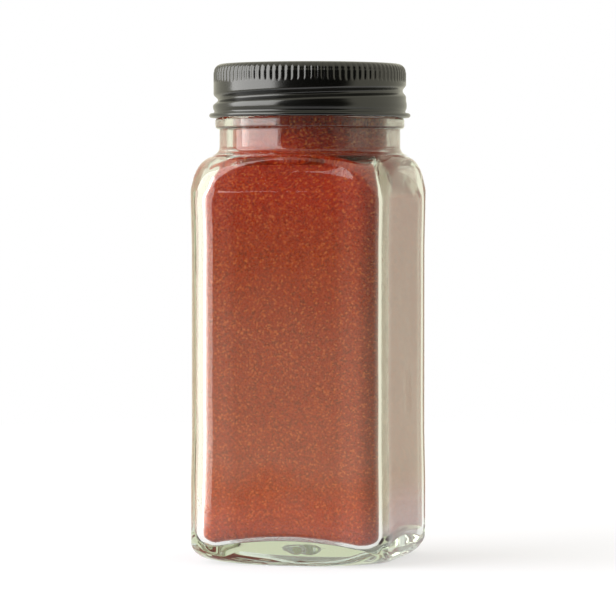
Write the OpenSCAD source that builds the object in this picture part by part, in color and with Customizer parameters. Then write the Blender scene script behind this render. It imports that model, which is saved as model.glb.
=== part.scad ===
// Square glass spice jar with a shaker insert, filled with ground red pepper
// and closed by a lined, enamelled tinplate screw cap.
// Millimetres. The jar stands on z = 0, its axis is the z axis, and one flat
// face of the body looks along -y.

/* [Glass body] */
// Width of the square body at its shoulder and heel
body_width = 45.4; // [44:0.1:60]
// Height of the glass jar, from the table to its rim
jar_height = 109.9; // [85:0.1:150]
// Radius of the four upright corners
corner_radius = 5.5; // [4:0.5:8]
// Thickness of the side walls
wall = 2.5; // [1.8:0.1:3.2]
// How far the label panels are sunk below the shoulder and the heel
panel_recess = 0.2; // [0:0.05:0.9]
// Height over which a panel sinks in, above and below
panel_run = 15; // [5:1:20]
// Height of the shoulder, from the neck down to the upright walls
shoulder_height = 9.6; // [7:0.2:14]

/* [Glass base] */
// Height of the rounded heel
heel_height = 5; // [3:0.5:8]
// How far the round foot lies inside the side walls
foot_inset = 4; // [2:0.1:6]
// Width of the flat ring that the jar stands on
foot_width = 3.6; // [2:0.1:6]
// Height of the hollow under the base
kick_height = 3.8; // [1.5:0.1:3.9]
// Height of the glass floor at the middle of the jar
floor_height = 8; // [7:0.5:12]
// Radius of the domed glass floor
floor_dome = 78; // [60:1:120]

/* [Glass neck] */
// Diameter of the finish under its thread
finish_d = 39.8; // [32:0.1:42]
// Thickness of the neck between the finish and the bore
neck_wall = 2.4; // [1.8:0.1:3.2]
// Height of the glass thread above the finish
thread_depth = 1.1; // [0.8:0.05:1.4]
// Distance from the rim down to the bead
finish_height = 10.3; // [9.5:0.1:13]
// Height of the bead below the thread
bead_height = 2.4; // [1.5:0.1:3.5]
// How far the bead stands past the thread
bead_stand = 0.35; // [0.1:0.05:0.4]
// Length of the plain neck below the bead
neck_length = 6; // [3:0.2:8]
// How far the plain neck stands past the finish
neck_stand = 0.5; // [0.2:0.05:1]

/* [Thread] */
// Rise of the thread in one turn
pitch = 4.233; // [3.5:0.001:5.2]
// Plain height above and below the glass thread
thread_margin = 1.1; // [0.6:0.1:1.8]
// Half the height of the glass thread, as a share of the pitch
glass_thread_share = 0.28; // [0.2:0.01:0.3]
// Half the height of the cap thread, as a share of the pitch
cap_thread_share = 0.3; // [0.25:0.01:0.36]
// Height of the glass thread over the cap thread, as a share of the pitch
thread_lead_share = 0.485; // [0.46:0.005:0.5]

/* [Cap] */
// Thickness of the tinplate
sheet = 0.25; // [0.2:0.05:0.35]
// Gap between the glass thread and the wall of the cap
cap_gap = 0.5; // [0.3:0.05:0.8]
// Depth of the thread rolled into the wall of the cap
cap_thread_depth = 1; // [0.7:0.05:1.1]
// Diameter of the curled edge's roll
curl_d = 1; // [0.8:0.05:1.4]
// How far the curled edge hangs above the bead
curl_gap = 0.1; // [0.05:0.05:0.5]
// Rounding of the cap's top edge
top_round = 1.25; // [0.8:0.05:1.6]
// Number of flutes in the grip band
flutes = 96; // [60:2:120]
// Depth of the flutes
flute_depth = 0.3; // [0.1:0.02:0.4]
// Distance from the top of the cap down to the flutes' lower ends
grip_height = 4.2; // [2.5:0.1:5]

/* [Insert and liner] */
// Thickness of the insert's top and flange
insert_top = 0.7; // [0.6:0.1:1.2]
// How far the insert's plug reaches into the bore
plug_depth = 4.5; // [3:0.1:6]
// Thickness of the plug wall
plug_wall = 0.9; // [0.7:0.1:1.4]
// Gap between the plug and the bore
plug_gap = 0.2; // [0.1:0.05:0.4]
// Diameter of the shaker holes
hole_d = 3; // [1.5:0.1:3.6]
// Distance between neighbouring rings of shaker holes
hole_pitch = 5.2; // [4.4:0.1:6]
// Thickness of the liner
liner_t = 0.85; // [0.5:0.05:1.5]
// Gap between faces that seat on each other
seat_gap = 0.05; // [0.02:0.01:0.1]
// Gap between the powder and the glass
fill_gap = 0.1; // [0.05:0.01:0.2]
// Gap between the powder and the insert's plug
heap_gap = 0.3; // [0.1:0.05:1]
// Free height between the powder and the insert's top
head_space = 3; // [1:0.2:3.6]

/* [Hidden] */

// Steps of the outlines: along a flat, round an upright corner, in a turn of
// thread, in the run-out of a thread, and in a half round of its section
flat_steps = 6;
corner_steps = 5;
turn_steps = 40;
fade_steps = 4;
section_steps = 5;
heel_steps = 6;
dome_steps = 7;
// How far one shape of a piece reaches into the next
overlap = 0.4;

// Radii of the neck
finish_r = finish_d / 2;
bore_r = finish_r - neck_wall;
thread_r = finish_r + thread_depth;
bead_r = thread_r + bead_stand;
neck_r = finish_r + neck_stand;

// Heights of the neck, counted down from the rim
bead_top = jar_height - finish_height;
bead_bottom = bead_top - bead_height;
shoulder_top = bead_bottom - neck_length;
shoulder_foot = shoulder_top - shoulder_height;

// Rounding of the rim, of the bead above and below, and of the corners at
// the bead and at the foot of the neck
rim_round = 0.8;
bead_top_round = 0.6;
bead_low_round = 0.8;
bead_top_fillet = 0.4;
bead_low_fillet = 0.5;
cove = 2;

// Outline of the body
half_width = body_width / 2;
foot_r = half_width - foot_inset;
kick_r = foot_r - foot_width;
corner_reach = (half_width - corner_radius) * sqrt(2) + corner_radius;
shoulder_power = 1.8;
shoulder_blend = 2.4;
heel_power = 2.2;
// The foot ring is a hair off a true circle, so its corners stay rounded
foot_flat = 0.3;
// The round limit of the shoulder starts inside the neck and ends past the
// upright corners, so that both run into each other
dome_start = 0.2;
dome_end = 0.5;
// A panel sinks in this far above the heel, and ends this far into the shoulder
heel_band = 10;
shoulder_band = 2;

// Outline of the hollow inside
inner_half = half_width - wall;
inner_corner = corner_radius - 0.8 * wall;
inner_reach = (inner_half - inner_corner) * sqrt(2) + inner_corner;
inner_heel = 3;
inner_heel_round = 2.4;
floor_dip = 4.6;
inner_foot = floor_height - floor_dip;
inner_shoulder_top = shoulder_top - 0.9 * wall;
bore_flare = 1.8;

// Heights of the insert, the liner and the cap, counted up from the rim
insert_z = jar_height + insert_top;
insert_bevel = 0.2;
plug_z = jar_height - plug_depth;
plug_in = bore_r - plug_gap - plug_wall;
liner_z = insert_z + seat_gap;
panel_z = liner_z + liner_t + seat_gap;
cap_top = panel_z + sheet;
grip_z = cap_top - grip_height;
cap_bottom = bead_top + curl_gap;
curl_top = cap_bottom + curl_d;

// Radii of the cap: its wall, the sheet behind the flutes, and the curl
wall_in = thread_r + cap_gap;
wall_out = wall_in + sheet;
core_r = wall_out - flute_depth - 0.06;
curl_r = curl_d / 2;
// The wall draws in a little over this height above the curl
neck_in = 0.3;
neck_in_depth = 0.12;
// The flutes end below in a slope half as high as they are deep
grip_slope = flute_depth / 2;
in_round = top_round - sheet;
liner_r = core_r - sheet - 0.54;
liner_bevel = 0.55 * in_round;

// The cap thread runs from just over the curl to just under the grip band,
// and crosses the side that looks toward view_dir cross_drop below the top
view_dir = 285;
cross_drop = 7.1;
thread_clear = 0.05;
cap_rise = pitch * cap_thread_share;
cap_groove = cap_rise - sheet;
cap_low = curl_top + neck_in + cap_rise + thread_clear;
cap_high = grip_z - grip_slope - cap_rise - thread_clear;
cap_turns = (cap_high - cap_low) / pitch;
cap_start = view_dir + 360 * (cap_low - cap_top + cross_drop) / pitch;

// The glass thread lies the same lead above the cap thread all the way
lead = pitch * thread_lead_share;
glass_rise = pitch * glass_thread_share;
glass_low = bead_top + thread_margin + glass_rise;
glass_high = jar_height - thread_margin - glass_rise;
glass_turns = (glass_high - glass_low) / pitch;
glass_start = view_dir + 360 * (glass_low - lead - cap_top + cross_drop) / pitch;

function mix(a, b, t) = a + (b - a) * t;
function unit(t) = min(max(t, 0), 1);
function ease(t) = let (u = unit(t)) u * u * (3 - 2 * u);
// A rounded lower bound of two values: k is the width of the blend
function soft_min(a, b, k) =
    let (h = unit(0.5 + 0.5 * (b - a) / k)) mix(b, a, h) - k * h * (1 - h);
// Height of a quarter round of the given power at the share t of its run
function quarter(t, power) = pow(max(1 - pow(1 - unit(t), power), 0), 1 / power);

// Distance from the axis to a square with round corners, in the direction d
function square_r(d, half, corner) =
    let (x = abs(cos(d)), y = abs(sin(d)), flat = half - corner)
    y * half <= x * flat ? half / x :
    x * half <= y * flat ? half / y :
    let (c = flat * (x + y)) c + sqrt(max(c * c - 2 * flat * flat + corner * corner, 0));

// Directions of the points of a ring: even steps along each flat and round
// each corner of the body
ring_angles = [
    for (side = [0:3]) each concat(
        [for (i = [0:flat_steps - 1])
            90 * side + atan2((half_width - corner_radius) * (2 * i / flat_steps - 1), half_width)],
        [for (j = [0:corner_steps - 1]) let (a = 90 * j / corner_steps)
            90 * side + atan2(half_width - corner_radius + corner_radius * sin(a),
                half_width - corner_radius + corner_radius * cos(a))])];

// One ring of points at the height z: a rounded square inside a round limit
function ring(z, half, corner, limit, blend) = [for (d = ring_angles)
    let (r = soft_min(square_r(d, half, corner), limit, blend))
    [r * cos(d), r * sin(d), z]];

// A closed solid through a list of rings with equal numbers of points
module loft(rings) {
    n = len(rings[0]);
    m = len(rings);
    polyhedron(
        points = [for (r = rings) each r],
        faces = concat(
            [[for (i = [0:n - 1]) i]],
            [for (k = [0:m - 2], i = [0:n - 1]) let (j = (i + 1) % n) each [
                [k * n + i, (k + 1) * n + i, (k + 1) * n + j],
                [k * n + i, (k + 1) * n + j, k * n + j]]],
            [[for (i = [n - 1:-1:0]) (m - 1) * n + i]]));
}

// How deep a label panel is sunk at the height z
function sunk(z) = panel_recess * ease((z - heel_height - heel_band) / panel_run)
    * ease((shoulder_foot + shoulder_band - z) / panel_run);

// Round limit of the shoulder at the height z, outside or inside
function dome(z, foot, top, r_top, r_foot) =
    r_top + (r_foot - r_top) * pow(max(1 - pow(unit((z - foot) / (top - foot)), shoulder_power), 0),
        1 / shoulder_power);

function outer_ring(z) =
    let (heel = quarter(z / heel_height, heel_power), open = 2 * corner_reach)
    ring(z,
        mix(foot_r, half_width - sunk(z), heel),
        mix(foot_r - foot_flat, corner_radius, heel),
        z <= shoulder_foot ? open :
            dome(z, shoulder_foot, shoulder_top, neck_r - dome_start, corner_reach + dome_end),
        shoulder_blend);

// The ring that the wall has inside at the height z, drawn in by gap all round,
// and also lifted by it off the floor and lowered by it under the shoulder
function inner_ring(z, gap) =
    let (heel = quarter((z - inner_foot) / inner_heel, 2), open = 2 * corner_reach,
        lift = z <= inner_foot + inner_heel ? gap : z <= shoulder_foot ? 0 : -gap)
    ring(z + lift,
        mix(inner_half - inner_heel_round, inner_half - sunk(z), heel) - gap,
        mix(inner_corner + inner_heel_round, inner_corner, heel),
        z <= shoulder_foot ? open :
            dome(z, shoulder_foot, inner_shoulder_top, bore_r - dome_start,
                inner_reach + dome_end) - gap,
        shoulder_blend);

// Heights of the rings, closer together where the outline turns faster
function heel_rings(foot, height, power) =
    [for (i = [0:heel_steps]) foot + height * (1 - pow(cos(90 * i / heel_steps), 2 / power))];
function dome_rings(top) = [for (i = [1:dome_steps])
    mix(shoulder_foot, top, pow(sin(90 * i / (dome_steps + 0.3)), 2 / shoulder_power))];
side_rings = concat(
    [for (i = [0:3]) heel_height + heel_band + panel_run * i / 3],
    [for (i = [3:-1:0]) shoulder_foot - max(panel_run * i / 3 - shoulder_band, 0)]);

// Profile of the finish, from the cove on the shoulder up to the rim
function arc(cx, cz, rx, rz, a0, a1, n) =
    [for (i = [0:n]) let (a = mix(a0, a1, i / n)) [cx + rx * cos(a), cz + rz * sin(a)]];

module finish_profile() {
    polygon(concat(
        [[bore_r - overlap, shoulder_top - cove], [neck_r, shoulder_top - cove]],
        arc(neck_r + cove, shoulder_top + cove, cove, cove, 265, 180, 8),
        arc(neck_r + bead_low_fillet, bead_bottom - bead_low_fillet,
            bead_low_fillet, bead_low_fillet, 180, 90, 4),
        arc(bead_r - bead_low_round, bead_bottom + bead_low_round,
            bead_low_round, bead_low_round, -80, 0, 5),
        arc(bead_r - bead_top_round, bead_top - bead_top_round,
            bead_top_round, bead_top_round, 0, 80, 5),
        arc(finish_r + bead_top_fillet, bead_top + bead_top_fillet,
            bead_top_fillet, bead_top_fillet, 260, 180, 4),
        arc(finish_r - rim_round, jar_height - rim_round, rim_round, rim_round, 0, 90, 6),
        [[bore_r - overlap, jar_height]]));
}

// A rounded thread wound right-handed round the z axis. Its section is half
// an ellipse that stands by depth from the radius root, outwards or inwards.
// Its base lies inside the wall by sink, and both ends run out into the wall.
module thread(start, z0, turns, root, depth, rise, sink) {
    n = ceil(turns * turn_steps);
    side = sign(depth);
    loft([for (i = [0:n])
        let (d = start + 360 * turns * i / n,
            z = z0 + pitch * turns * i / n,
            full = min(ease(i / fade_steps), ease((n - i) / fade_steps)),
            half = rise * mix(0.6, 1, full),
            base = root - side * sink / 2)
        [for (p = concat(
            [for (j = [0:section_steps]) let (t = side * mix(90, -90, j / section_steps))
                [base + full * (root + depth - base) * cos(t), half * sin(t)]],
            [[root - side * sink, -side * half], [root - side * sink, side * half]]))
            [p[0] * cos(d), p[0] * sin(d), z + p[1]]]]);
}

module glass_jar() {
    color([0.82, 0.90, 0.86, 0.45])
    difference() {
        union() {
            loft([for (z = concat(heel_rings(0, heel_height, heel_power), side_rings,
                dome_rings(shoulder_top))) outer_ring(z)]);
            rotate_extrude($fn = 128) finish_profile();
            thread(glass_start, glass_low, glass_turns, finish_r, thread_depth, glass_rise, overlap);
        }
        cavity(0, jar_height + 1);
        kick_up();
    }
}

// Hollow under the base, a shallow dome inside the foot ring
module kick_up() {
    r = (kick_r * kick_r + kick_height * kick_height) / (2 * kick_height);
    translate([0, 0, kick_height - r]) sphere(r, $fn = 96);
}

// The room inside the glass, or the powder that fills it up to the height top
module cavity(gap, top) {
    difference() {
        union() {
            loft([for (z = concat(heel_rings(inner_foot, inner_heel, 2), side_rings,
                dome_rings(inner_shoulder_top))) inner_ring(z, gap)]);
            rotate_extrude($fn = 128) bore_profile(gap, top);
        }
        translate([0, 0, floor_height - floor_dome + gap]) sphere(floor_dome, $fn = 192);
    }
}

// Bore of the neck, with the round edge where it opens into the shoulder
module bore_profile(gap, top) {
    foot = inner_shoulder_top - cove;
    polygon(concat(
        [[0, foot - cove], [bore_r - gap, foot - cove], [bore_r - gap + cove / 2, foot]],
        arc(bore_r + bore_flare, inner_shoulder_top + bore_flare / 3,
            bore_flare + gap, bore_flare + gap, 235, 180, 5),
        [[bore_r - gap, top], [0, top]]));
}

// Powder, level just under the plug of the insert and heaped up inside it
module spice_fill() {
    color([0.70, 0.22, 0.09])
    union() {
        cavity(fill_gap, plug_z - heap_gap);
        translate([0, 0, plug_z - 2])
            cylinder(r = plug_in - heap_gap, h = jar_height - head_space - plug_z + 2, $fn = 96);
    }
}

module sifter_insert() {
    color([0.93, 0.93, 0.90])
    difference() {
        rotate_extrude($fn = 128) polygon([
            [0, jar_height], [0, insert_z],
            [finish_r - insert_bevel, insert_z], [finish_r, insert_z - insert_bevel],
            [finish_r, jar_height], [bore_r - plug_gap, jar_height],
            [bore_r - plug_gap, plug_z + plug_wall / 2],
            [bore_r - plug_gap - plug_wall / 2, plug_z],
            [plug_in, plug_z], [plug_in, jar_height]]);
        for (row = [0:2], k = [0:max(6 * row, 1) - 1])
            rotate([0, 0, 360 * k / max(6 * row, 1)])
                translate([row * hole_pitch, 0, jar_height - 1])
                    cylinder(d = hole_d, h = insert_top + 2, $fn = 32);
    }
}

module cap_liner() {
    color([0.90, 0.87, 0.78])
    rotate_extrude($fn = 128) polygon([
        [0, liner_z], [liner_r, liner_z], [liner_r, liner_z + liner_t - liner_bevel],
        [liner_r - liner_bevel, liner_z + liner_t], [0, liner_z + liner_t]]);
}

// Section of the cap's sheet: flat top, round edge, plain wall and curl
module shell_profile() {
    polygon(concat(
        [[0, panel_z], [0, cap_top]],
        arc(core_r - top_round, cap_top - top_round, top_round, top_round, 90, 0, 8),
        [[core_r, grip_z], [wall_out, grip_z - grip_slope],
            [wall_out, curl_top + neck_in], [wall_out - neck_in_depth, curl_top]],
        arc(wall_out - neck_in_depth + curl_r, cap_bottom + curl_r, curl_r, curl_r, 130, -180, 14),
        [[wall_in - neck_in_depth, cap_bottom + curl_r], [wall_in - neck_in_depth, curl_top],
            [wall_in, curl_top + neck_in],
            [wall_in, grip_z - grip_slope - sheet / 2], [core_r - sheet, grip_z - sheet / 2]],
        arc(core_r - top_round, cap_top - top_round, in_round, in_round, 0, 90, 8)));
}

// Raised ribs of the grip band, as one ring with a waved outline
module grip_band() {
    translate([0, 0, grip_z - thread_clear])
    linear_extrude(grip_height - top_round - thread_clear)
    difference() {
        polygon([for (i = [0:flutes - 1], j = [0:3])
            let (r = wall_out - flute_depth * [1, 0.5, 0, 0.5][j], d = 360 * (i + j / 4) / flutes)
            [r * cos(d), r * sin(d)]]);
        circle(core_r - sheet / 2, $fn = 128);
    }
}

module cap_shell() {
    color([0.09, 0.09, 0.09])
    difference() {
        union() {
            rotate_extrude($fn = 128) shell_profile();
            grip_band();
            thread(cap_start, cap_low, cap_turns, wall_in, -cap_thread_depth, cap_rise, sheet / 2);
        }
        thread(cap_start, cap_low, cap_turns, wall_out, -cap_thread_depth, cap_groove, overlap);
    }
}

glass_jar();
spice_fill();
sifter_insert();
cap_liner();
cap_shell();
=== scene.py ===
"""Square glass spice jar with a black screw cap, filled with ground red spice.

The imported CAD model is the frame. Each piece is worked out here in its place, in
millimetres, and turned into metres where its mesh is made.
"""

import math

import bpy
import numpy as np
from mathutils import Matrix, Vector

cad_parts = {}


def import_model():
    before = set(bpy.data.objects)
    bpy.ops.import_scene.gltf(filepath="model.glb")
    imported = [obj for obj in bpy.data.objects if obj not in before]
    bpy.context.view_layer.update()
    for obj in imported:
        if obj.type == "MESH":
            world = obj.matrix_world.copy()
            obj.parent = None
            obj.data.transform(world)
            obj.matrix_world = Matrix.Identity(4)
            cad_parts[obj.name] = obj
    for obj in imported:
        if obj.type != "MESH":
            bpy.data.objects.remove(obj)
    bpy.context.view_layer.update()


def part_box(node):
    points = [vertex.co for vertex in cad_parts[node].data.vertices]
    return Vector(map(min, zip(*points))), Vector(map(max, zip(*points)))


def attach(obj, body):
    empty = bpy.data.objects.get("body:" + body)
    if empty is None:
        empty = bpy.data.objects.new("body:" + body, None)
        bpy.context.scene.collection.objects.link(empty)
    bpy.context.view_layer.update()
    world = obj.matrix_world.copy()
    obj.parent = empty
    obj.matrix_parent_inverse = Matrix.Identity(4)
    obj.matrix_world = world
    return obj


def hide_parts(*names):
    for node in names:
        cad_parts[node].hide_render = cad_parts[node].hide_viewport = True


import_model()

MM = 0.001

# Sizes, in mm


def span(node):
    """Lowest and highest corner of a CAD node, in millimetres."""
    low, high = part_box(node)
    return low / MM, high / MM


JAR_HIGH = span("glass_jar")[1]
CAP_LOW, CAP_HIGH = span("cap_shell")
INSERT_LOW, INSERT_HIGH = span("sifter_insert")
LINER_LOW, LINER_HIGH = span("cap_liner")

# Body of the jar: its label panels are sunk a little, and the heel ends in a flat foot ring
RIM = JAR_HIGH.z
HALF_WIDTH = JAR_HIGH.x
CORNER = 5.5
WALL = 2.5
PANEL_SINK = 0.2
PANEL_RUN = 15.0
HEEL = 5.0
HEEL_POWER = 2.2
HEEL_BAND = 10.0
FOOT_INSET = 4.0
FOOT_WIDTH = 3.6
FOOT_FLAT = 0.3
FOOT_ROUND = 1.5
FOOT_NOTCHES = 80
FOOT_NOTCH_DEPTH = 0.1
FOOT_R = HALF_WIDTH - FOOT_INSET
CORNER_REACH = (HALF_WIDTH - CORNER) * math.sqrt(2) + CORNER

# Hollow under the base
KICK_R = FOOT_R - FOOT_WIDTH
KICK_HEIGHT = 3.8
CHILL = 0.15

# Neck and shoulder, from the rim down
FINISH_R = 19.9
FINISH_HEIGHT = 10.3
NECK_WALL = 2.4
BEAD_R = 21.35
BEAD_HEIGHT = 2.4
NECK_R = 20.4
NECK_LENGTH = 6.0
SHOULDER_HEIGHT = 9.6
SHOULDER_POWER = 1.8
SHOULDER_BLEND = 2.4
SHOULDER_BAND = 2.0
BORE_R = FINISH_R - NECK_WALL
BEAD_TOP = RIM - FINISH_HEIGHT
BEAD_LOW = BEAD_TOP - BEAD_HEIGHT
SHOULDER_TOP = BEAD_LOW - NECK_LENGTH
SHOULDER_FOOT = SHOULDER_TOP - SHOULDER_HEIGHT

# The round that limits the shoulder starts inside the neck and ends past the upright corners
DOME_START = 0.2
DOME_END = 0.5

# Rounds of the neck
COVE = 2.0
BEAD_FILLET = 0.3
BEAD_LOW_ROUND = 0.65
BEAD_TOP_ROUND = 0.6
FINISH_FILLET = 0.4
RIM_ROUND = 0.8
RIM_INNER_ROUND = 0.5

# Screw thread. It runs out over a share of a turn, and the glass one lies above the cap's
PITCH = 4.233
THREAD_FADE = 0.1
THREAD_MARGIN = 1.1
GLASS_THREAD_DEPTH = 1.1
GLASS_THREAD_HALF = 0.28 * PITCH
GLASS_THREAD_LEAD = 0.485 * PITCH

# Hollow of the jar
HOLLOW_HALF = HALF_WIDTH - WALL
HOLLOW_CORNER = CORNER - 0.8 * WALL
HOLLOW_REACH = (HOLLOW_HALF - HOLLOW_CORNER) * math.sqrt(2) + HOLLOW_CORNER
HOLLOW_TOP = SHOULDER_TOP - 0.9 * WALL
LEAN_FOOT = SHOULDER_FOOT - 1.0
LEAN_HEIGHT = 12.0
RIPPLE = 0.06
MOUTH_ROUND = 1.8
MOUTH_BLEND = 1.6
MOUTH_TOP = HOLLOW_TOP + MOUTH_ROUND
FLOOR_TOP = 7.3
FLOOR_DOME = 115.0
FLOOR_ROUND = 2.6
# Up to this height the wall follows the floor, which is lower in the corners
FLOOR_REACH = 20.0

# The lining's upright corners, in radians from the diagonal, stay clear of grains
CLEAR_CORNER = 0.17
CLEAR_FADE = 0.12

# Powder
FILL_GAP = 0.05
HEAP_GAP = 0.3
HEAD_SPACE = 3.0

# Cap
CAP_TOP = CAP_HIGH.z
CAP_FOOT = CAP_LOW.z
SHEET = 0.25
CAP_WALL = 21.75
CAP_EDGE_IN = 0.1
TOP_ROUND = 1.8
FLUTES = 96
FLUTE_DEPTH = 0.18
FLUTE_FOOT = 1.1
FLUTE_HEAD = 0.8
FLUTE_LAND = 0.15
GRIP_FOOT = CAP_TOP - 4.2
CURL = 1.0
CURL_IN = 0.02
SKIRT_FOOT = CAP_FOOT + CURL + 0.3
SKIRT_SWELL = 0.16
CAP_THREAD_DEPTH = 1.0
CAP_THREAD_HALF = 1.4
CAP_THREAD_CLEAR = 0.05

# The cap thread crosses this side, in degrees, at this depth below the top
VIEW_SIDE = 285.0
VIEW_DROP = 7.1

# Insert
PLUG_R = 17.3
PLUG_WALL = 0.9
HOLE_D = 3.0
HOLE_PITCH = 5.2
HOLE_RINGS = 3

# Shape functions


def unit(t):
    """A value held between 0 and 1."""
    return np.clip(t, 0.0, 1.0)


def ease(t):
    """A smooth step from 0 to 1."""
    t = unit(t)
    return t * t * (3 - 2 * t)


def mix(a, b, t):
    """The value a share t of the way from a to b."""
    return a + (b - a) * t


def soft_min(a, b, width):
    """The lower of two values, blended over a width where they meet."""
    share = unit(0.5 + 0.5 * (b - a) / width)
    return mix(b, a, share) - width * share * (1 - share)


def quarter(t, power):
    """Height of a quarter round at the share t of its run."""
    return np.maximum(1 - (1 - unit(t)) ** power, 0) ** (1 / power)


def square_r(angle, half, corner):
    """Distance from the axis to a square with round corners."""
    x, y = np.abs(np.cos(angle)), np.abs(np.sin(angle))
    flat = half - corner
    along = half / np.maximum(np.maximum(x, y), 1e-9)
    middle = flat * (x + y)
    around = middle + np.sqrt(np.maximum(middle**2 - 2 * flat**2 + corner**2, 0))
    in_corner = (y * half > x * flat) & (x * half > y * flat)
    return np.where(in_corner, around, along)


def panel_depth(z):
    """How deep the label panels are sunk into the four sides."""
    above = ease((z - HEEL - HEEL_BAND) / PANEL_RUN)
    return PANEL_SINK * above * ease((SHOULDER_FOOT + SHOULDER_BAND - z) / PANEL_RUN)


def shoulder(side, z, top, top_r, foot_r, blend):
    """A side drawn in to the round of the shoulder, softer and softer towards its top."""
    rise = unit((z - SHOULDER_FOOT) / (top - SHOULDER_FOOT))
    dome = np.maximum(1 - rise**SHOULDER_POWER, 0) ** (1 / SHOULDER_POWER)
    limit = mix(top_r, foot_r, dome)
    return soft_min(side, limit, 0.01 + blend * ease(rise / 0.4))


def ripple(angle, z):
    """Unevenness of the blown inner wall: long soft waves, none at the neck."""
    waves = (
        np.sin(0.13 * z + 2 * np.sin(angle + 0.6))
        + 0.5 * np.sin(0.24 * z - 3 * angle + 1.1)
        + 0.6 * np.cos(5 * angle + 0.09 * z)
    )
    return RIPPLE * waves * ease((SHOULDER_FOOT + 4 - z) / 12)


def body_r(angle, z):
    """Outside of the glass from the foot to the top of the shoulder."""
    heel = quarter(z / HEEL, HEEL_POWER)
    half = mix(FOOT_R, HALF_WIDTH - panel_depth(z), heel)
    side = square_r(angle, half, mix(FOOT_R - FOOT_FLAT, CORNER, heel))
    foot_r = CORNER_REACH + DOME_END
    return shoulder(side, z, SHOULDER_TOP, NECK_R - DOME_START, foot_r, SHOULDER_BLEND)


def hollow_side(angle, z):
    """Square inside of the glass. Under the neck its flats lean in gently to the bore."""
    lean = ease((z - LEAN_FOOT) / LEAN_HEIGHT)
    half = mix(HOLLOW_HALF - panel_depth(z), BORE_R + 0.02, lean)
    return square_r(angle, half, HOLLOW_CORNER)


def hollow_r(angle, z):
    """Inside of the glass from the floor to the top of the shoulder."""
    side = hollow_side(angle, z)
    foot_r = HOLLOW_REACH + DOME_END
    drawn_in = shoulder(side, z, HOLLOW_TOP, BORE_R + MOUTH_ROUND, foot_r, MOUTH_BLEND)
    return drawn_in - ripple(angle, z)


def chill(angle, t):
    """Chill marks of the base: shallow waves, most of them across the view."""
    x, y = t * np.cos(angle), t * np.sin(angle)
    waves = np.sin(16 * y + 3 * np.sin(4 * x)) + 0.6 * np.sin(9 * x - 5 * y)
    return CHILL * waves * ease(4 * (1 - t))


def floor_z(radius):
    """Height of the hollow's domed floor."""
    return FLOOR_TOP - FLOOR_DOME + np.sqrt(FLOOR_DOME**2 - radius**2)


def thread(angle, z, start, low, turns, half):
    """How fully a helical thread stands at a place, and how far off its crest, in half widths."""
    turn = (np.degrees(angle) - start) / 360
    turn = turn + np.round((z - low) / PITCH - turn)
    off = (z - low - PITCH * turn) / half
    full = ease(turn / THREAD_FADE) * ease((turns - turn) / THREAD_FADE)
    return full, np.clip(off, -1, 1)


def arc(centre_r, centre_z, radius, first, last, steps):
    """Points of an arc in the plane of the outline, angles in degrees."""
    turns = np.radians(np.linspace(first, last, steps + 1))
    return [(centre_r + radius * math.cos(a), centre_z + radius * math.sin(a)) for a in turns]


def even(count):
    """Even directions all round."""
    return np.arange(count) * 2 * math.pi / count


def square_angles(flat_steps, corner_steps):
    """Directions in even steps along each flat and round each corner of the body."""
    flat = HALF_WIDTH - CORNER
    side = [math.atan2(flat * (2 * i / flat_steps - 1), HALF_WIDTH) for i in range(flat_steps)]
    for i in range(corner_steps):
        a = math.pi / 2 * i / corner_steps
        side.append(math.atan2(flat + CORNER * math.sin(a), flat + CORNER * math.cos(a)))
    return np.array([a + k * math.pi / 2 for k in range(4) for a in side])


# Mesh tools


def deselect():
    if bpy.context.object and bpy.context.object.mode == "EDIT":
        bpy.ops.object.mode_set(mode="OBJECT")
    bpy.ops.object.select_all(action="DESELECT")


def draw_outline(name, points):
    """Draws an outline in the XZ plane by extruding one vertex from point to point."""
    deselect()
    bpy.ops.mesh.primitive_plane_add(size=MM)
    piece = bpy.context.object
    piece.name = name
    bpy.ops.object.mode_set(mode="EDIT")
    bpy.ops.mesh.merge(type="CENTER")
    # Out of edit mode the merged corners are dropped, and the points to come keep their order
    bpy.ops.object.mode_set(mode="OBJECT")
    bpy.ops.object.mode_set(mode="EDIT")
    here = Vector((0, 0, 0))
    for number, (r, z) in enumerate(points):
        there = Vector((r, 0, z)) * MM
        if number:
            bpy.ops.mesh.extrude_vertices_move(TRANSFORM_OT_translate={"value": there - here})
        else:
            bpy.ops.transform.translate(value=there)
        here = there
    bpy.ops.object.mode_set(mode="OBJECT")
    return piece


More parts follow.
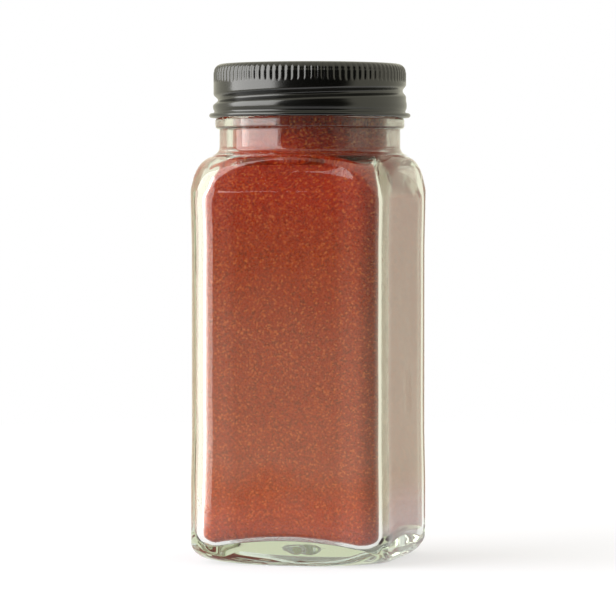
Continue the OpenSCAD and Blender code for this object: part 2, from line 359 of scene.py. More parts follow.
def turned(name, stations, surface, angles, lining=()):
    """Spins an outline round Z, then sets each vertex where the surface has it.

    A station is (zone, u, v). surface(zone, u, v, angle) gives the radius and
    the height there, and angles are the directions of the spin's steps. The
    zones in lining are marked for the material by the attribute of that name,
    but not in the upright corners.
    """
    zones = np.array([s[0] for s in stations])
    u = np.array([s[1] for s in stations], float)
    v = np.array([s[2] for s in stations], float)
    r, z = surface(zones, u, v, np.zeros(len(stations)))
    piece = draw_outline(name, list(zip(r, z)))
    mark = piece.data.attributes.new("station", "FLOAT", "POINT")
    mark.data.foreach_set("value", np.arange(len(stations), dtype=np.float32))

    # An eighth of a turn is spun, and then doubled three times
    steps = len(angles)
    bpy.ops.object.mode_set(mode="EDIT")
    bpy.ops.mesh.select_all(action="SELECT")
    bpy.ops.mesh.spin(steps=steps // 8, angle=math.pi / 4, center=(0, 0, 0), axis=(0, 0, 1))
    for part in (4, 2, 1):
        bpy.ops.mesh.select_all(action="SELECT")
        bpy.ops.mesh.duplicate()
        bpy.ops.transform.rotate(
            value=math.pi / part, orient_axis="Z", orient_type="GLOBAL", center_override=(0, 0, 0)
        )
    bpy.ops.mesh.select_all(action="SELECT")
    bpy.ops.mesh.remove_doubles(threshold=0.002 * MM)
    bpy.ops.object.mode_set(mode="OBJECT")

    mesh = piece.data
    place = np.zeros(len(mesh.vertices) * 3, np.float32)
    mesh.vertices.foreach_get("co", place)
    place = place.reshape(-1, 3).astype(float)
    station = np.zeros(len(mesh.vertices), np.float32)
    mesh.attributes["station"].data.foreach_get("value", station)
    row = np.rint(station).astype(int)
    step = np.rint(np.arctan2(place[:, 1], place[:, 0]) / (2 * math.pi) * steps).astype(int)
    angle = angles[step % steps]
    r, z = surface(zones[row], u[row], v[row], angle)
    place = np.stack([r * np.cos(angle), r * np.sin(angle), z], 1) * MM
    mesh.vertices.foreach_set("co", place.astype(np.float32).ravel())
    mesh.attributes.remove(mesh.attributes["station"])
    if lining:
        off_corner = np.abs(np.mod(angle, math.pi / 2) - math.pi / 4)
        flat = ease((off_corner - CLEAR_CORNER) / CLEAR_FADE)
        marks = (np.isin(zones[row], lining) * flat).astype(np.float32)
        mesh.attributes.new("lining", "FLOAT", "POINT").data.foreach_set("value", marks)
    outward(piece)
    return piece


def outward(piece):
    """Turns all faces of a closed piece outwards and shades it smooth."""
    deselect()
    piece.select_set(True)
    bpy.context.view_layer.objects.active = piece
    bpy.ops.object.mode_set(mode="EDIT")
    bpy.ops.mesh.select_all(action="SELECT")
    bpy.ops.mesh.normals_make_consistent(inside=False)
    bpy.ops.object.mode_set(mode="OBJECT")
    bpy.ops.object.shade_smooth()


def apply_modifier(piece, kind, name, **settings):
    """Adds a modifier with its settings to a piece, and applies it."""
    deselect()
    piece.select_set(True)
    bpy.context.view_layer.objects.active = piece
    added = piece.modifiers.new(name, kind)
    for key, value in settings.items():
        setattr(added, key, value)
    bpy.ops.object.modifier_apply(modifier=added.name)


# Materials


def colour(code):
    """Linear colour from an sRGB hex value."""
    parts = [int(code[i : i + 2], 16) / 255 for i in (1, 3, 5)]
    return tuple(p / 12.92 if p <= 0.04045 else ((p + 0.055) / 1.055) ** 2.4 for p in parts) + (1,)


def add(tree, kind, inputs=(), **settings):
    """Adds a node with its settings, and its inputs as values or as the sockets that feed them."""
    node = tree.nodes.new(kind)
    for key, value in settings.items():
        setattr(node, key, value)
    for key, value in dict(inputs).items():
        if isinstance(value, bpy.types.NodeSocket):
            tree.links.new(value, node.inputs[key])
        else:
            node.inputs[key].default_value = value
    return node


def new_material(name):
    material = bpy.data.materials.new(name)
    material.use_nodes = True
    material.node_tree.nodes.clear()
    return material, material.node_tree


def flint_glass():
    """Pressed-and-blown soda-lime flint glass: clear, with a faint green where it is thick."""
    material, tree = new_material("soda_lime_flint_glass_blown")
    glass = add(
        tree,
        "ShaderNodeBsdfPrincipled",
        {
            "Base Color": (1, 1, 1, 1),
            "Roughness": 0.0,
            "IOR": 1.52,
            "Transmission Weight": 1.0,
        },
    )
    clear = add(tree, "ShaderNodeBsdfTransparent", {"Color": colour("#F2F4F0")})
    path = add(tree, "ShaderNodeLightPath")
    # Light that has been mirrored three times inside the wall leaves it
    trapped = add(
        tree,
        "ShaderNodeMath",
        {0: path.outputs["Glossy Depth"], 1: 2.5},
        operation="GREATER_THAN",
    )
    # On the flats the grains of the fill touch part of the lining, which doesn't mirror there
    lining = add(tree, "ShaderNodeAttribute", attribute_name="lining").outputs["Fac"]
    touched = add(tree, "ShaderNodeMath", {0: lining, 1: 0.5}, operation="MULTIPLY")
    share = touched.outputs[0]
    for other in (trapped.outputs[0], path.outputs["Is Diffuse Ray"], path.outputs["Is Shadow Ray"]):
        share = add(tree, "ShaderNodeMath", {0: share, 1: other}, operation="MAXIMUM").outputs[0]
    shown = add(tree, "ShaderNodeMixShader", {0: share, 1: glass.outputs[0], 2: clear.outputs[0]})
    tint = add(tree, "ShaderNodeVolumeAbsorption", {"Color": colour("#D9E4D2"), "Density": 30.0})
    add(
        tree,
        "ShaderNodeOutputMaterial",
        {"Surface": shown.outputs[0], "Volume": tint.outputs[0]},
    )
    return material


def spice_powder():
    """Ground sweet red pepper: fine dry grains, brick red with orange and dark specks."""
    material, tree = new_material("ground_red_pepper_powder")
    place = add(tree, "ShaderNodeTexCoord").outputs["Object"]
    # Ground pepper has grains of about a third of a millimetre
    grain = 0.34 * MM
    grains = add(tree, "ShaderNodeTexVoronoi", {"Vector": place, "Scale": 1 / grain})
    shade = add(tree, "ShaderNodeSeparateColor", {0: grains.outputs["Color"]})
    tones = add(tree, "ShaderNodeValToRGB", {"Fac": shade.outputs[0]})
    stops = tones.color_ramp.elements
    stops[0].position, stops[0].color = 0.0, colour("#4C0600")
    stops[1].position, stops[1].color = 1.0, colour("#E47C38")
    for position, code in ((0.3, "#941A02"), (0.7, "#AE2602"), (0.88, "#C44A0C")):
        stops.new(position).color = colour(code)
    # Fine pale dust clings to the glass over the middle of the jar, with cloudy edges. The same ramp by
    # height also holds painted light low down and painted shade in the neck.
    height = add(tree, "ShaderNodeSeparateXYZ", {0: place}).outputs["Z"]
    clouds = add(tree, "ShaderNodeTexNoise", {"Vector": place, "Scale": 1 / (9 * MM), "Detail": 4.0})
    level = add(
        tree,
        "ShaderNodeMath",
        {0: clouds.outputs["Fac"], 1: 12 * MM, 2: height},
        operation="MULTIPLY_ADD",
    )
    share = add(
        tree,
        "ShaderNodeMapRange",
        {"Value": level.outputs[0], "From Min": 6 * MM, "From Max": 106 * MM},
    )
    dust_and_painted_light = add(tree, "ShaderNodeValToRGB", {"Fac": share.outputs["Result"]})
    dust_and_painted_light_stops = dust_and_painted_light.color_ramp.elements
    # The brighter orange near the bottom is painted light, as if lit from the table. The dark top stop
    # is painted shade in the neck, where the cap shades the powder.
    dust_and_painted_light_stops[0].position, dust_and_painted_light_stops[0].color = 0.0, colour("#C8521C")
    dust_and_painted_light_stops[1].position, dust_and_painted_light_stops[1].color = 1.0, colour("#300600")
    for position, code in (
        (0.13, "#EC7448"),
        (0.22, "#E0947E"),
        (0.5, "#C47A64"),
        (0.68, "#B0502F"),
        (0.82, "#AE2A02"),
        (0.88, "#A42000"),
    ):
        dust_and_painted_light_stops.new(position).color = colour(code)
    grains_dust_and_painted_light = add(
        tree,
        "ShaderNodeMix",
        {"Factor": 0.45, "A": tones.outputs["Color"], "B": dust_and_painted_light.outputs["Color"]},
        data_type="RGBA",
    )
    bump = add(
        tree,
        "ShaderNodeBump",
        {"Strength": 0.3, "Distance": 0.05 * MM, "Height": grains.outputs["Distance"]},
    )
    powder = add(
        tree,
        "ShaderNodeBsdfPrincipled",
        {
            "Base Color": grains_dust_and_painted_light.outputs["Result"],
            "Roughness": 0.95,
            "Specular IOR Level": 0.2,
            "Normal": bump.outputs["Normal"],
        },
    )
    add(tree, "ShaderNodeOutputMaterial", {"Surface": powder.outputs[0]})
    return material


def black_enamel():
    """Black baked enamel on tinplate: satin, with a faint orange peel."""
    material, tree = new_material("black_baked_enamel_on_tinplate")
    place = add(tree, "ShaderNodeTexCoord").outputs["Object"]
    # The peel is 0.7 mm wide, and the gloss differs from place to place in patches of 6 mm
    peel = add(tree, "ShaderNodeTexNoise", {"Vector": place, "Scale": 1 / (0.7 * MM), "Detail": 2.0})
    haze = add(tree, "ShaderNodeTexNoise", {"Vector": place, "Scale": 1 / (6 * MM), "Detail": 4.0})
    satin = add(
        tree,
        "ShaderNodeMapRange",
        {"Value": haze.outputs["Fac"], "From Min": 0.3, "From Max": 0.7, "To Min": 0.17, "To Max": 0.24},
    )
    bump = add(
        tree,
        "ShaderNodeBump",
        {"Strength": 0.15, "Distance": 0.02 * MM, "Height": peel.outputs["Fac"]},
    )
    enamel = add(
        tree,
        "ShaderNodeBsdfPrincipled",
        {
            "Base Color": colour("#0C0C0B"),
            "Roughness": satin.outputs["Result"],
            "Specular IOR Level": 0.75,
            "Normal": bump.outputs["Normal"],
        },
    )
    add(tree, "ShaderNodeOutputMaterial", {"Surface": enamel.outputs[0]})
    return material


def natural_polyethylene():
    """Injection-moulded natural low-density polyethylene: milky, waxy, slightly see-through."""
    material, tree = new_material("natural_ldpe_moulded")
    place = add(tree, "ShaderNodeTexCoord").outputs["Object"]
    # Flow marks of about 3 mm
    flow = add(tree, "ShaderNodeTexNoise", {"Vector": place, "Scale": 1 / (3 * MM), "Detail": 3.0})
    tone = add(
        tree,
        "ShaderNodeMix",
        {"Factor": flow.outputs["Fac"], "A": colour("#E9E8E0"), "B": colour("#F3F2EC")},
        data_type="RGBA",
    )
    bump = add(
        tree,
        "ShaderNodeBump",
        {"Strength": 0.2, "Distance": 0.03 * MM, "Height": flow.outputs["Fac"]},
    )
    wax = add(
        tree,
        "ShaderNodeBsdfPrincipled",
        {
            "Base Color": tone.outputs["Result"],
            "Roughness": 0.42,
            "IOR": 1.51,
            "Subsurface Weight": 0.3,
            "Subsurface Radius": (0.002, 0.002, 0.0018),
            "Normal": bump.outputs["Normal"],
        },
    )
    add(tree, "ShaderNodeOutputMaterial", {"Surface": wax.outputs[0]})
    return material


def liner_board():
    """Pulp board faced with polyethylene film: warm grey-white, with short fibres under the film."""
    material, tree = new_material("film_faced_pulp_board")
    place = add(tree, "ShaderNodeTexCoord").outputs["Object"]
    # Fibres half a millimetre long
    fibres = add(
        tree,
        "ShaderNodeTexNoise",
        {"Vector": place, "Scale": 1 / (0.5 * MM), "Detail": 5.0, "Distortion": 2.0},
    )
    tone = add(
        tree,
        "ShaderNodeMix",
        {"Factor": fibres.outputs["Fac"], "A": colour("#D6CDB6"), "B": colour("#EAE4D4")},
        data_type="RGBA",
    )
    bump = add(
        tree,
        "ShaderNodeBump",
        {"Strength": 0.25, "Distance": 0.03 * MM, "Height": fibres.outputs["Fac"]},
    )
    board = add(
        tree,
        "ShaderNodeBsdfPrincipled",
        {"Base Color": tone.outputs["Result"], "Roughness": 0.5, "Normal": bump.outputs["Normal"]},
    )
    add(tree, "ShaderNodeOutputMaterial", {"Surface": board.outputs[0]})
    return material


def finish_piece(piece, material, body, node):
    """Gives a piece its material, parents it to the body it moves with, and hides the CAD part that it
    stands in for.
    """
    piece.data.materials.clear()
    piece.data.materials.append(material)
    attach(piece, body)
    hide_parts(node)
    return piece


# Glass jar

AS_DRAWN, SIDE, HOLLOW, MOUTH, BEND, FLOOR, FINISH, FOOT, KICK = range(9)


def jar_surface(zone, u, v, angle, gap=0.0):
    """Radius and height on the glass. gap draws the hollow in, for what fills it."""
    r, z = u.copy(), v.copy()

    side = zone == SIDE
    r[side] = body_r(angle[side], v[side])

    screw = zone == FINISH
    low = BEAD_TOP + THREAD_MARGIN + GLASS_THREAD_HALF
    turns = (RIM - THREAD_MARGIN - GLASS_THREAD_HALF - low) / PITCH
    start = VIEW_SIDE + 360 * (low - GLASS_THREAD_LEAD - CAP_TOP + VIEW_DROP) / PITCH
    full, off = thread(angle[screw], v[screw], start, low, turns, GLASS_THREAD_HALF)
    r[screw] += GLASS_THREAD_DEPTH * full * ease(1.25 * np.sqrt(1 - off**2))

    # Fine notches cross the foot ring
    foot = zone == FOOT
    z[foot] += FOOT_NOTCH_DEPTH * (0.5 - 0.5 * np.cos(FOOT_NOTCHES * angle[foot]))

    # The hollow under the base has the soft waves that the baffle leaves
    kick = zone == KICK
    z[kick] += chill(angle[kick], u[kick] / KICK_R)

    # The wall follows the floor up and down along the sides and corners
    hollow = zone == HOLLOW
    foot_r = hollow_r(angle, np.full(len(angle), FLOOR_TOP))
    edge = floor_z(foot_r)
    wall_foot = floor_z(HOLLOW_HALF) + FLOOR_ROUND
    slide = (edge + FLOOR_ROUND - wall_foot) * ease((FLOOR_REACH - v) / (FLOOR_REACH - wall_foot))
    z[hollow] += slide[hollow]
    r[hollow] = hollow_r(angle[hollow], z[hollow]) - gap
    z[hollow] -= gap * ease((v[hollow] - SHOULDER_FOOT + 6) / 6)

    # The round of the mouth, drawn in on the flats, where the side stands closest to it
    mouth = zone == MOUTH
    blend = MOUTH_BLEND * np.sqrt(unit((u[mouth] - BORE_R) / MOUTH_ROUND)) + 0.01
    side = hollow_side(angle[mouth], v[mouth])
    r[mouth] = np.maximum(soft_min(side, u[mouth], blend), BORE_R) - gap
    z[mouth] -= gap * unit((u[mouth] - BORE_R) / MOUTH_ROUND)

    bend = zone == BEND
    a = u[bend] * math.pi / 2
    out = foot_r[bend] - FLOOR_ROUND
    r[bend] = out + (FLOOR_ROUND - gap) * np.cos(a)
    z[bend] = edge[bend] + FLOOR_ROUND - (FLOOR_ROUND - gap) * np.sin(a)

    floor = zone == FLOOR
    reach = foot_r[floor] - FLOOR_ROUND
    r[floor] = u[floor] * reach
    lift = edge[floor] - floor_z(reach)
    z[floor] = floor_z(r[floor]) + lift * u[floor] ** 6 + gap - 1.3 * chill(angle[floor] + 1, u[floor])
    return r, z


def hollow_stations():
    """From the middle of the floor up into the bore, along the inside of the glass."""
    rows = [(FLOOR, t, 0) for t in np.linspace(0, 1, 12)]
    rows += [(BEND, t, 0) for t in np.linspace(0.875, 0, 8)]
    wall_foot = floor_z(HOLLOW_HALF) + FLOOR_ROUND
    rows += [(HOLLOW, 0, z) for z in np.linspace(wall_foot, SHOULDER_FOOT, 48)[1:]]
    climb = np.sin(np.radians(np.linspace(0, 90, 20)[1:-1])) ** (2 / SHOULDER_POWER)
    rows += [(HOLLOW, 0, mix(SHOULDER_FOOT, HOLLOW_TOP, t)) for t in climb]
    mouth = arc(BORE_R + MOUTH_ROUND, MOUTH_TOP, MOUTH_ROUND, 270, 180, 10)
    mouth += [(BORE_R, MOUTH_TOP + z) for z in (0.25, 1.25, 3.25, 6.25, 9.25, 12.25)]
    rows += [(MOUTH, r, z) for r, z in mouth]
    return rows


def jar_stations():
    """From the middle of the hollow under the base up the outside, over the rim and down inside."""
    kick_dome = (KICK_R**2 + KICK_HEIGHT**2) / (2 * KICK_HEIGHT)
    tilt = math.asin(KICK_R / kick_dome)
    bend_r = KICK_R + FOOT_ROUND * math.tan(tilt / 2)
    rows = [
        (KICK, r, KICK_HEIGHT - kick_dome + math.sqrt(kick_dome**2 - r**2))
        for r in np.linspace(0, bend_r - FOOT_ROUND * math.sin(tilt), 12)
    ]
    bend = arc(bend_r, FOOT_ROUND, FOOT_ROUND, 270 - math.degrees(tilt), 270, 5)
    rows += [(AS_DRAWN, r, z) for r, z in bend[1:]]
    rows += [(FOOT, r, 0) for r in np.linspace(bend_r, FOOT_R, 7)[1:-1]]
    heel = 1 - np.cos(np.radians(np.linspace(0, 90, 17))) ** (2 / HEEL_POWER)
    rows += [(SIDE, 0, HEEL * t) for t in heel]
    rows += [(SIDE, 0, z) for z in np.linspace(HEEL, SHOULDER_FOOT, 48)[1:]]
    climb = np.sin(np.radians(np.linspace(0, 84, 20)[1:])) ** (2 / SHOULDER_POWER)
    rows += [(SIDE, 0, mix(SHOULDER_FOOT, SHOULDER_TOP, t)) for t in climb]
    neck = arc(NECK_R + COVE, SHOULDER_TOP + COVE, COVE, 262, 180, 9)
    neck += [(NECK_R, SHOULDER_TOP + z) for z in (2.2, 3, 4.1, 5, 5.5)]
    neck += arc(NECK_R + BEAD_FILLET, BEAD_LOW - BEAD_FILLET, BEAD_FILLET, 180, 90, 4)
    neck += arc(BEAD_R - BEAD_LOW_ROUND, BEAD_LOW + BEAD_LOW_ROUND, BEAD_LOW_ROUND, -80, 0, 7)
    neck += [(BEAD_R, BEAD_LOW + z) for z in (0.8, 1.2, 1.65)]
    neck += arc(BEAD_R - BEAD_TOP_ROUND, BEAD_TOP - BEAD_TOP_ROUND, BEAD_TOP_ROUND, 0, 80, 6)
    neck += arc(FINISH_R + FINISH_FILLET, BEAD_TOP + FINISH_FILLET, FINISH_FILLET, 260, 180, 4)
    rows += [(AS_DRAWN, r, z) for r, z in neck]
    rows += [(FINISH, FINISH_R, z) for z in np.linspace(BEAD_TOP + 0.6, RIM - 0.9, 36)]
    rim = arc(FINISH_R - RIM_ROUND, RIM - RIM_ROUND, RIM_ROUND, 0, 90, 6)
    rim += [(BORE_R + 1.45, RIM), (BORE_R + 0.65, RIM)]
    rim += arc(BORE_R + RIM_INNER_ROUND, RIM - RIM_INNER_ROUND, RIM_INNER_ROUND, 90, 180, 5)
    rim += [(BORE_R, RIM - 0.65), (BORE_R, RIM - 3)]
    rows += [(AS_DRAWN, r, z) for r, z in rim]
    rows += list(reversed(hollow_stations()))
    return rows


def glass_jar():
    """Clear square jar with its screw thread, all one piece of glass."""
    jar = turned(
        "square_glass_jar",
        jar_stations(),
        jar_surface,
        square_angles(52, 26),
        lining=(HOLLOW, MOUTH, BEND, FLOOR),
    )
    finish_piece(jar, flint_glass(), "jar", "glass_jar")


# Spice powder


def spice_fill():
    """Powder up to the insert's plug, and a low heap inside the plug."""
    fill_r = BORE_R - FILL_GAP
    heap_r = PLUG_R - PLUG_WALL - HEAP_GAP
    level = INSERT_LOW.z - HEAP_GAP
    slope = 0.5
    heap = RIM - HEAD_SPACE - slope
    top = [(fill_r, level - 0.4), (fill_r - 0.4, level), (heap_r + 0.1, level)]
    top += [(heap_r, level + 0.2), (heap_r, heap)]
    top += [(r, heap + slope * (1 - r / heap_r)) for r in (15.5, 12, 8, 4, 0)]
    rows = hollow_stations() + [(AS_DRAWN, r, z) for r, z in top]

    def surface(zone, u, v, angle):
        return jar_surface(zone, u, v, angle, FILL_GAP)

    fill = turned("red_spice_powder", rows, surface, square_angles(44, 20))
    finish_piece(fill, spice_powder(), "jar", "spice_fill")


# Sifter insert


def plain_surface(zone, u, v, angle):
    return u.copy(), v.copy()


def sifter_insert():
    """Flange with a shallow ring groove, plug in the bore and rings of shaker holes."""
    low, high = INSERT_LOW.z, INSERT_HIGH.z
    plug_in = PLUG_R - PLUG_WALL
    outline = [(0, RIM), (plug_in - 0.5, RIM)] + arc(plug_in - 0.4, RIM - 0.4, 0.4, 90, 0, 4)
    outline += [(plug_in, low + 0.2), (plug_in + 0.15, low), (PLUG_R - 0.5, low)]
    outline += [(PLUG_R - 0.2, low + 0.2), (PLUG_R, low + 0.6), (PLUG_R, RIM - 0.02)]
    outline += [(FINISH_R - 0.1, RIM + 0.01)]
    outline += arc(FINISH_R - 0.2, high - 0.2, 0.2, 0, 90, 4)
    outline += [(16.2, high), (15.9, high - 0.08), (15.4, high - 0.08), (15.1, high)]
    outline += [(8, high), (0, high)]
    rows = [(AS_DRAWN, r, z) for r, z in outline]
    insert = turned("sifter_insert", rows, plain_surface, even(128))

    deselect()
    for ring in range(HOLE_RINGS):
        holes = max(6 * ring, 1)
        for k in range(holes):
            a = 2 * math.pi * k / holes
            x = ring * HOLE_PITCH * math.cos(a)
            y = ring * HOLE_PITCH * math.sin(a)
            bpy.ops.mesh.primitive_cylinder_add(
                vertices=40,
                radius=HOLE_D / 2 * MM,
                depth=6 * MM,
                location=(x * MM, y * MM, high * MM),
            )
            drill = bpy.context.object
            apply_modifier(insert, "BOOLEAN", "hole", operation="DIFFERENCE", object=drill)
            bpy.data.objects.remove(drill)
    deselect()
    insert.select_set(True)
    bpy.context.view_layer.objects.active = insert
    bpy.ops.object.shade_smooth_by_angle(angle=math.radians(35))
    finish_piece(insert, natural_polyethylene(), "jar", "sifter_insert")


# Cap liner


def cap_liner():
    """Disc with its upper edge bevelled to clear the round edge of the cap."""
    low, high, out = LINER_LOW.z, LINER_HIGH.z, LINER_HIGH.x
    outline = [(0, low), (FINISH_R + 0.2, low), (out - 0.1, low), (out, low + 0.1)]
    outline += [(out, high - 0.45), (out - 0.45, high), (16, high), (0, high)]
    rows = [(AS_DRAWN, r, z) for r, z in outline]
    liner = turned("cap_liner_disc", rows, plain_surface, even(128))
    bpy.ops.object.shade_smooth_by_angle(angle=math.radians(35))
    finish_piece(liner, liner_board(), "liner", "cap_liner")


# Cap shell

OUTSIDE, INSIDE = 10, 11


def cap_surface(zone, u, v, angle):
    """Radius and height on the cap's sheet, with its flutes and rolled thread."""
    r, z = u.copy(), v.copy()
    low = SKIRT_FOOT + CAP_THREAD_HALF + CAP_THREAD_CLEAR
    high = GRIP_FOOT - FLUTE_DEPTH / 2 - CAP_THREAD_HALF - CAP_THREAD_CLEAR
    start = VIEW_SIDE + 360 * (low - CAP_TOP + VIEW_DROP) / PITCH
    turns = (high - low) / PITCH

    on_sheet = (zone == OUTSIDE) | (zone == INSIDE)
    full, off = thread(angle, v, start, low, turns, CAP_THREAD_HALF)
    groove = full * (0.5 + 0.5 * np.cos(math.pi * off))
    r[on_sheet] -= CAP_THREAD_DEPTH * groove[on_sheet]

    # The skirt swells out below the thread, and is drawn in just above the curl
    skirt = unit((v - SKIRT_FOOT) / (low + CAP_THREAD_HALF - SKIRT_FOOT))
    swell = np.sin(math.pi * skirt) ** 2 - ease(1 - skirt / 0.3)
    r[on_sheet] += SKIRT_SWELL * swell[on_sheet]

    # Each flute is pressed in to a round end at its foot and runs out over the edge
    press = 0.5 + 0.5 * np.cos(FLUTES * angle)
    foot = 1 - quarter((v - GRIP_FOOT) / FLUTE_FOOT, 2)
    head = ease((v - CAP_TOP + 1.0) / FLUTE_HEAD)
    depth = ease((press - mix(FLUTE_LAND, 1, foot)) / (1 - FLUTE_LAND)) * (1 - head)
    r[on_sheet] -= FLUTE_DEPTH * depth[on_sheet]
    return r, z


def cap_stations():
    """From the middle of the top down the outside, round the curl and back up the inside."""
    rows = [(AS_DRAWN, r, CAP_TOP) for r in (0, 8, 14, 18)]
    edge = CAP_WALL - TOP_ROUND - CAP_EDGE_IN
    corner = arc(edge, CAP_TOP - TOP_ROUND, TOP_ROUND, 90, 0, 8)
    rows += [(OUTSIDE, r, z) for r, z in corner]
    wall = [(CAP_WALL, z) for z in np.linspace(CAP_TOP - TOP_ROUND - 0.15, GRIP_FOOT - 0.1, 14)]
    wall += [(CAP_WALL, z) for z in np.linspace(GRIP_FOOT - 0.35, SKIRT_FOOT, 34)]
    rows += [(OUTSIDE, r, z) for r, z in wall]
    curl_r = CURL / 2
    curl = arc(CAP_WALL - CURL_IN + curl_r, CAP_FOOT + curl_r, curl_r, 140, -190, 18)
    rows += [(AS_DRAWN, r, z) for r, z in curl]
    inner = CAP_WALL - SHEET
    rows += [(AS_DRAWN, inner - 0.1, CAP_FOOT + curl_r + 0.35)]
    rows += [(INSIDE, inner, z) for z in np.linspace(SKIRT_FOOT + 0.05, GRIP_FOOT - 0.3, 30)]
    rows += [(INSIDE, inner, z) for z in np.linspace(GRIP_FOOT, CAP_TOP - TOP_ROUND - 0.15, 8)]
    in_corner = arc(edge, CAP_TOP - TOP_ROUND, TOP_ROUND - SHEET, 0, 90, 5)
    rows += [(AS_DRAWN, r, z) for r, z in in_corner[1:]]
    rows += [(AS_DRAWN, r, CAP_TOP - SHEET) for r in (14, 0)]
    return rows


def cap_shell():
    """Screw cap drawn from one sheet of tinplate."""
    cap = turned("screw_cap_shell", cap_stations(), cap_surface, even(FLUTES * 8))
    finish_piece(cap, black_enamel(), "cap", "cap_shell")


# Camera, stage and light, in metres and degrees, with the lens in millimetres

CAMERA_TURN = 15.0
CAMERA_REACH = 0.836
CAMERA_HEIGHT = 0.0818
CAMERA_LENS = 215.9
AIM = Vector((-0.0004, -0.0001, 0.0567))
TABLE_REACH = 0.5
TABLE_GLOW = 0.6
STUDIO_LEVEL = 0.9
DARK_LEVEL = 0.01


def towards(turn, rise=0.0):
    """Direction turn degrees round from the camera, to its right, and rise degrees up."""
    a, b = math.radians(CAMERA_TURN - 90 + turn), math.radians(rise)
    return Vector((math.cos(a) * math.cos(b), math.sin(a) * math.cos(b), math.sin(b)))


def camera():
    """Camera at the photograph's viewing angle and distance."""
    data = bpy.data.cameras.new("camera")
    data.sensor_width = 36
    data.lens = CAMERA_LENS
    view = bpy.data.objects.new("camera", data)
    bpy.context.scene.collection.objects.link(view)
    view.location = towards(0) * CAMERA_REACH + Vector((0, 0, CAMERA_HEIGHT))
    view.rotation_euler = (AIM - view.location).to_track_quat("-Z", "Y").to_euler()
    bpy.context.scene.camera = view


def floor():
    """White table: it stays white where it is lit and keeps the jar's shadow."""
    deselect()
    bpy.ops.mesh.primitive_circle_add(vertices=96, radius=TABLE_REACH, fill_type="NGON")
    table = bpy.context.object
    table.name = "white_table"
    material, tree = new_material("white_table_top")
    path = add(tree, "ShaderNodeLightPath")
    seen = path.outputs["Is Camera Ray"]
    for ray in ("Is Transmission Ray", "Is Glossy Ray"):
        seen = add(
            tree, "ShaderNodeMath", {0: seen, 1: path.outputs[ray]}, operation="MAXIMUM"
        ).outputs[0]
    lit = add(tree, "ShaderNodeMath", {0: seen, 1: TABLE_GLOW}, operation="MULTIPLY")
    top = add(
        tree,
        "ShaderNodeBsdfPrincipled",
        {
            "Base Color": colour("#A8A8B2"),
            "Roughness": 0.9,
            "Specular IOR Level": 0.0,
            "Emission Color": (1, 1, 1, 1),
            "Emission Strength": lit.outputs[0],
        },
    )
    # What mirrors the table sees it fade out into the room
    place = add(tree, "ShaderNodeTexCoord").outputs["Object"]
    reach = add(tree, "ShaderNodeVectorMath", {0: place}, operation="LENGTH")
    fade = add(
        tree,
        "ShaderNodeMapRange",
        {"Value": reach.outputs["Value"], "From Min": 0.03, "From Max": 0.3},
        interpolation_type="SMOOTHSTEP",
    )
    share = add(
        tree,
        "ShaderNodeMath",
        {0: fade.outputs["Result"], 1: path.outputs["Is Glossy Ray"]},
        operation="MULTIPLY",
    )
    gone = add(tree, "ShaderNodeBsdfTransparent")
    shown = add(
        tree,
        "ShaderNodeMixShader",
        {0: share.outputs[0], 1: top.outputs[0], 2: gone.outputs[0]},
    )
    add(tree, "ShaderNodeOutputMaterial", {"Surface": shown.outputs[0]})
    table.data.materials.append(material)


def spot(tree, way, middle, inner, outer):
    """A share that goes from 1 to 0 between two angles from a middle direction."""
    near = add(tree, "ShaderNodeVectorMath", {0: way, 1: middle}, operation="DOT_PRODUCT")
    level = add(
        tree,
        "ShaderNodeMapRange",
        {
            "Value": near.outputs["Value"],
            "From Min": math.cos(math.radians(outer)),
            "From Max": math.cos(math.radians(inner)),
        },
        interpolation_type="SMOOTHSTEP",
    )
    return level.outputs["Result"]


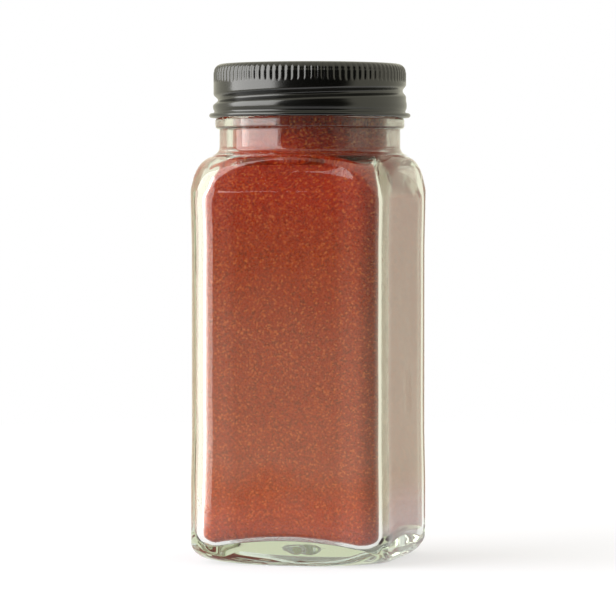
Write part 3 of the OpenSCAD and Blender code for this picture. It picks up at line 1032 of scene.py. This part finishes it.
def world():
    """Cream studio walls behind and beside the jar, and a dark camera side. To the camera it is white.

    The dark shows in what the outer surfaces mirror, and not in what is seen through the glass.
    """
    studio = bpy.data.worlds.new("studio")
    bpy.context.scene.world = studio
    studio.use_nodes = True
    tree = studio.node_tree
    tree.nodes.clear()
    way = add(tree, "ShaderNodeTexCoord").outputs["Generated"]
    dark = spot(tree, way, towards(5), inner=38, outer=52)
    path = add(tree, "ShaderNodeLightPath")
    # The world counts the camera's ray as 1 and a first mirror image as 2
    deep = add(tree, "ShaderNodeMath", {0: path.outputs["Ray Depth"], 1: 2.5}, operation="GREATER_THAN")
    seen = add(
        tree,
        "ShaderNodeMath",
        {0: path.outputs["Is Transmission Ray"], 1: path.outputs["Is Glossy Ray"]},
        operation="MAXIMUM",
    )
    through = add(tree, "ShaderNodeMath", {0: deep.outputs[0], 1: seen.outputs[0]}, operation="MULTIPLY")
    shut = add(tree, "ShaderNodeMath", {0: 1.0, 1: through.outputs[0]}, operation="SUBTRACT")
    dark = add(tree, "ShaderNodeMath", {0: dark, 1: shut.outputs[0]}, operation="MULTIPLY")
    level = add(
        tree,
        "ShaderNodeMapRange",
        {"Value": dark.outputs[0], "To Min": STUDIO_LEVEL, "To Max": DARK_LEVEL},
    )
    cream = add(
        tree,
        "ShaderNodeBackground",
        {"Color": colour("#FFFCE6"), "Strength": level.outputs["Result"]},
    )
    white = add(tree, "ShaderNodeBackground", {"Color": (1, 1, 1, 1), "Strength": 1.0})
    shown = add(
        tree,
        "ShaderNodeMixShader",
        {0: path.outputs["Is Camera Ray"], 1: cream.outputs[0], 2: white.outputs[0]},
    )
    add(tree, "ShaderNodeOutputWorld", {"Surface": shown.outputs[0]})


def lamp(name, turn, height, reach, width, tall, watts):
    """A soft box that stands turn degrees round from the camera and looks at the jar."""
    data = bpy.data.lights.new(name, "AREA")
    data.shape = "RECTANGLE"
    data.size, data.size_y, data.energy = width, tall, watts
    box = bpy.data.objects.new(name, data)
    bpy.context.scene.collection.objects.link(box)
    box.location = towards(turn) * reach + Vector((0, 0, height))
    box.rotation_euler = (Vector((0, 0, 0.06)) - box.location).to_track_quat("-Z", "Y").to_euler()


bpy.context.scene.view_settings.view_transform = "Standard"
camera()
glass_jar()
spice_fill()
sifter_insert()
cap_liner()
cap_shell()
floor()
world()
lamp("left_soft_box", turn=-74, height=0.45, reach=1.2, width=1.7, tall=1.3, watts=28)
